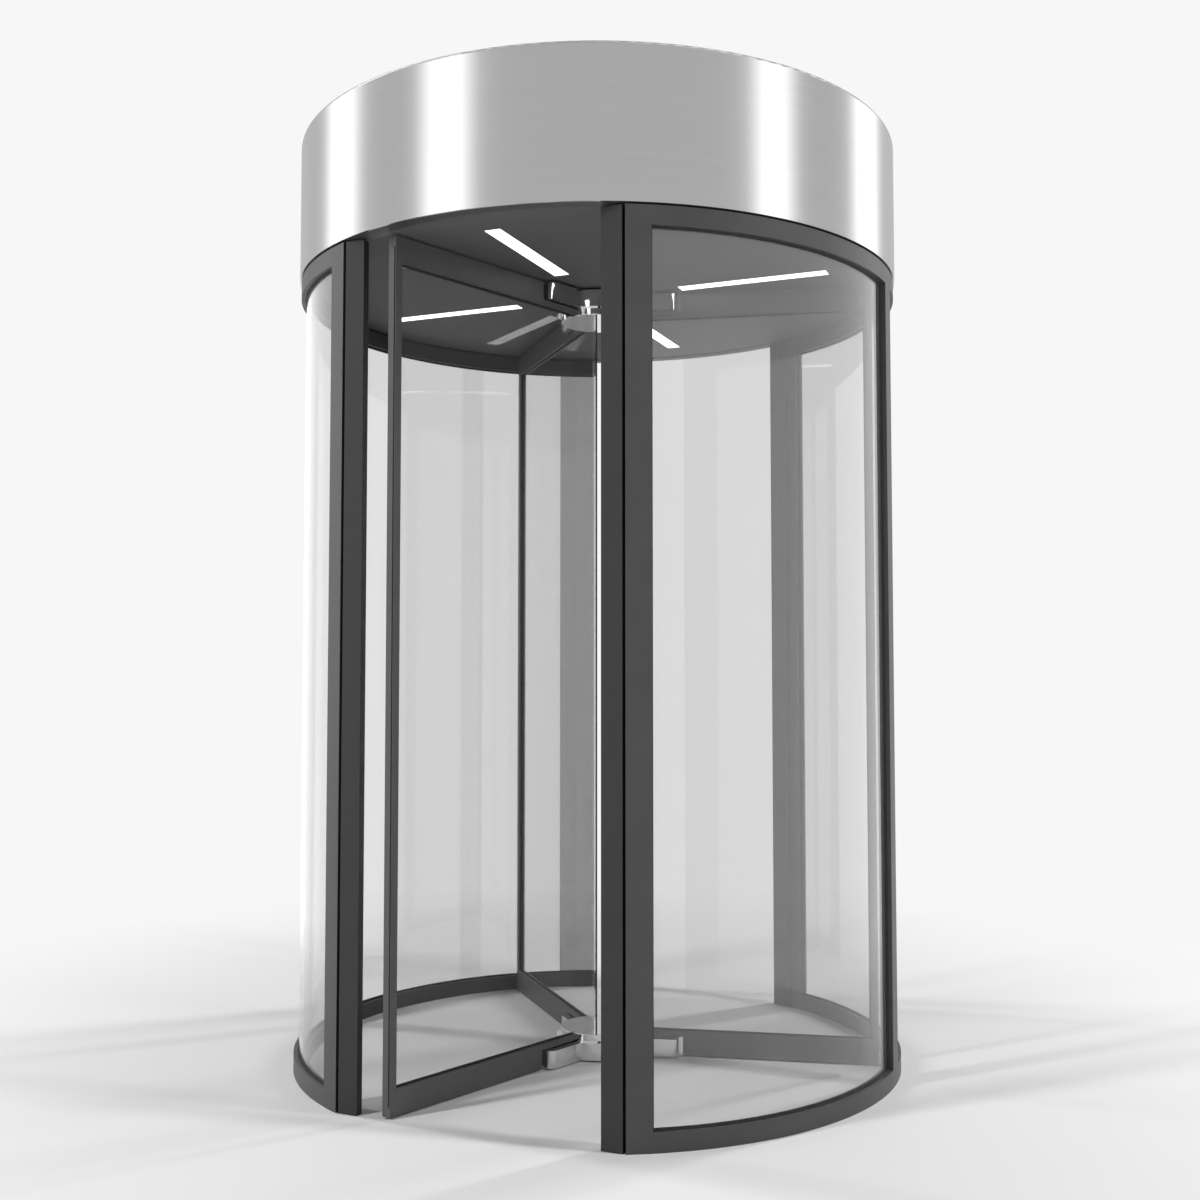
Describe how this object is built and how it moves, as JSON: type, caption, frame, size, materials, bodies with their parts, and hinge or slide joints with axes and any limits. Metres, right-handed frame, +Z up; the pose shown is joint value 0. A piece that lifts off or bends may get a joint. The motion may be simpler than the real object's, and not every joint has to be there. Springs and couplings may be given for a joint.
{
  "type": "revolving door",
  "caption": "Manual revolving door: a glazed rotor of radial wings turning inside curved glazed walls under a deep round canopy with ceiling lights.",
  "frame": {"origin": "floor level on the rotor's axis", "axes": "+Z up along the rotor's axis; the passages face -Y and +Y, the curved walls stand on the +X and -X sides"},
  "size_m": [1.9998, 1.9998, 3],
  "materials": {
    "canopy_steel": "fine brushed",
    "roof_paint": "matte",
    "ring_paint": "fine-textured powder coat",
    "ceiling_paint": "matte",
    "light_diffuser": "opal, lit",
    "bearing_steel": "ground",
    "frame_paint": "fine-textured powder coat, anthracite",
    "jamb_paint": "fine-textured powder coat, anthracite",
    "wall_glass": "clear laminated",
    "hub_chrome": "mirror polished",
    "wing_glass": "clear toughened",
    "brush_black": "nylon brush pile"
  },
  "bodies": {
    "enclosure": {"canopy_fascia": "canopy_steel", "canopy_roof": "roof_paint", "head_ring": "ring_paint", "ceiling_panel": "ceiling_paint", "ceiling_lights": "light_diffuser", "top_bearing": "bearing_steel", "floor_bearing": "bearing_steel", "right_base_rail": "frame_paint", "right_top_rail": "frame_paint", "right_front_post": "frame_paint", "right_rear_post": "frame_paint", "right_front_jamb": "jamb_paint", "right_rear_jamb": "jamb_paint", "right_mullion": "frame_paint", "right_front_glass": "wall_glass", "right_rear_glass": "wall_glass", "left_base_rail": "frame_paint", "left_top_rail": "frame_paint", "left_front_post": "frame_paint", "left_rear_post": "frame_paint", "left_front_jamb": "jamb_paint", "left_rear_jamb": "jamb_paint", "left_mullion": "frame_paint", "left_front_glass": "wall_glass", "left_rear_glass": "wall_glass"},
    "rotor": {"floor_hub": "hub_chrome", "ceiling_hub": "hub_chrome", "bottom_disc": "hub_chrome", "top_disc": "hub_chrome", "top_spindle": "bearing_steel", "wing_1_stile": "frame_paint", "wing_1_top_rail": "frame_paint", "wing_1_bottom_rail": "frame_paint", "wing_1_glass": "wing_glass", "wing_1_brush": "brush_black", "wing_2_stile": "frame_paint", "wing_2_top_rail": "frame_paint", "wing_2_bottom_rail": "frame_paint", "wing_2_glass": "wing_glass", "wing_2_brush": "brush_black", "wing_3_stile": "frame_paint", "wing_3_top_rail": "frame_paint", "wing_3_bottom_rail": "frame_paint", "wing_3_glass": "wing_glass", "wing_3_brush": "brush_black"}
  },
  "joints": [
    {"name": "rotor_turn", "type": "hinge", "parent": "enclosure", "child": "rotor", "pos_m": [0, 0, 0], "axis": [0, 0, 1], "continuous": true}
  ]
}
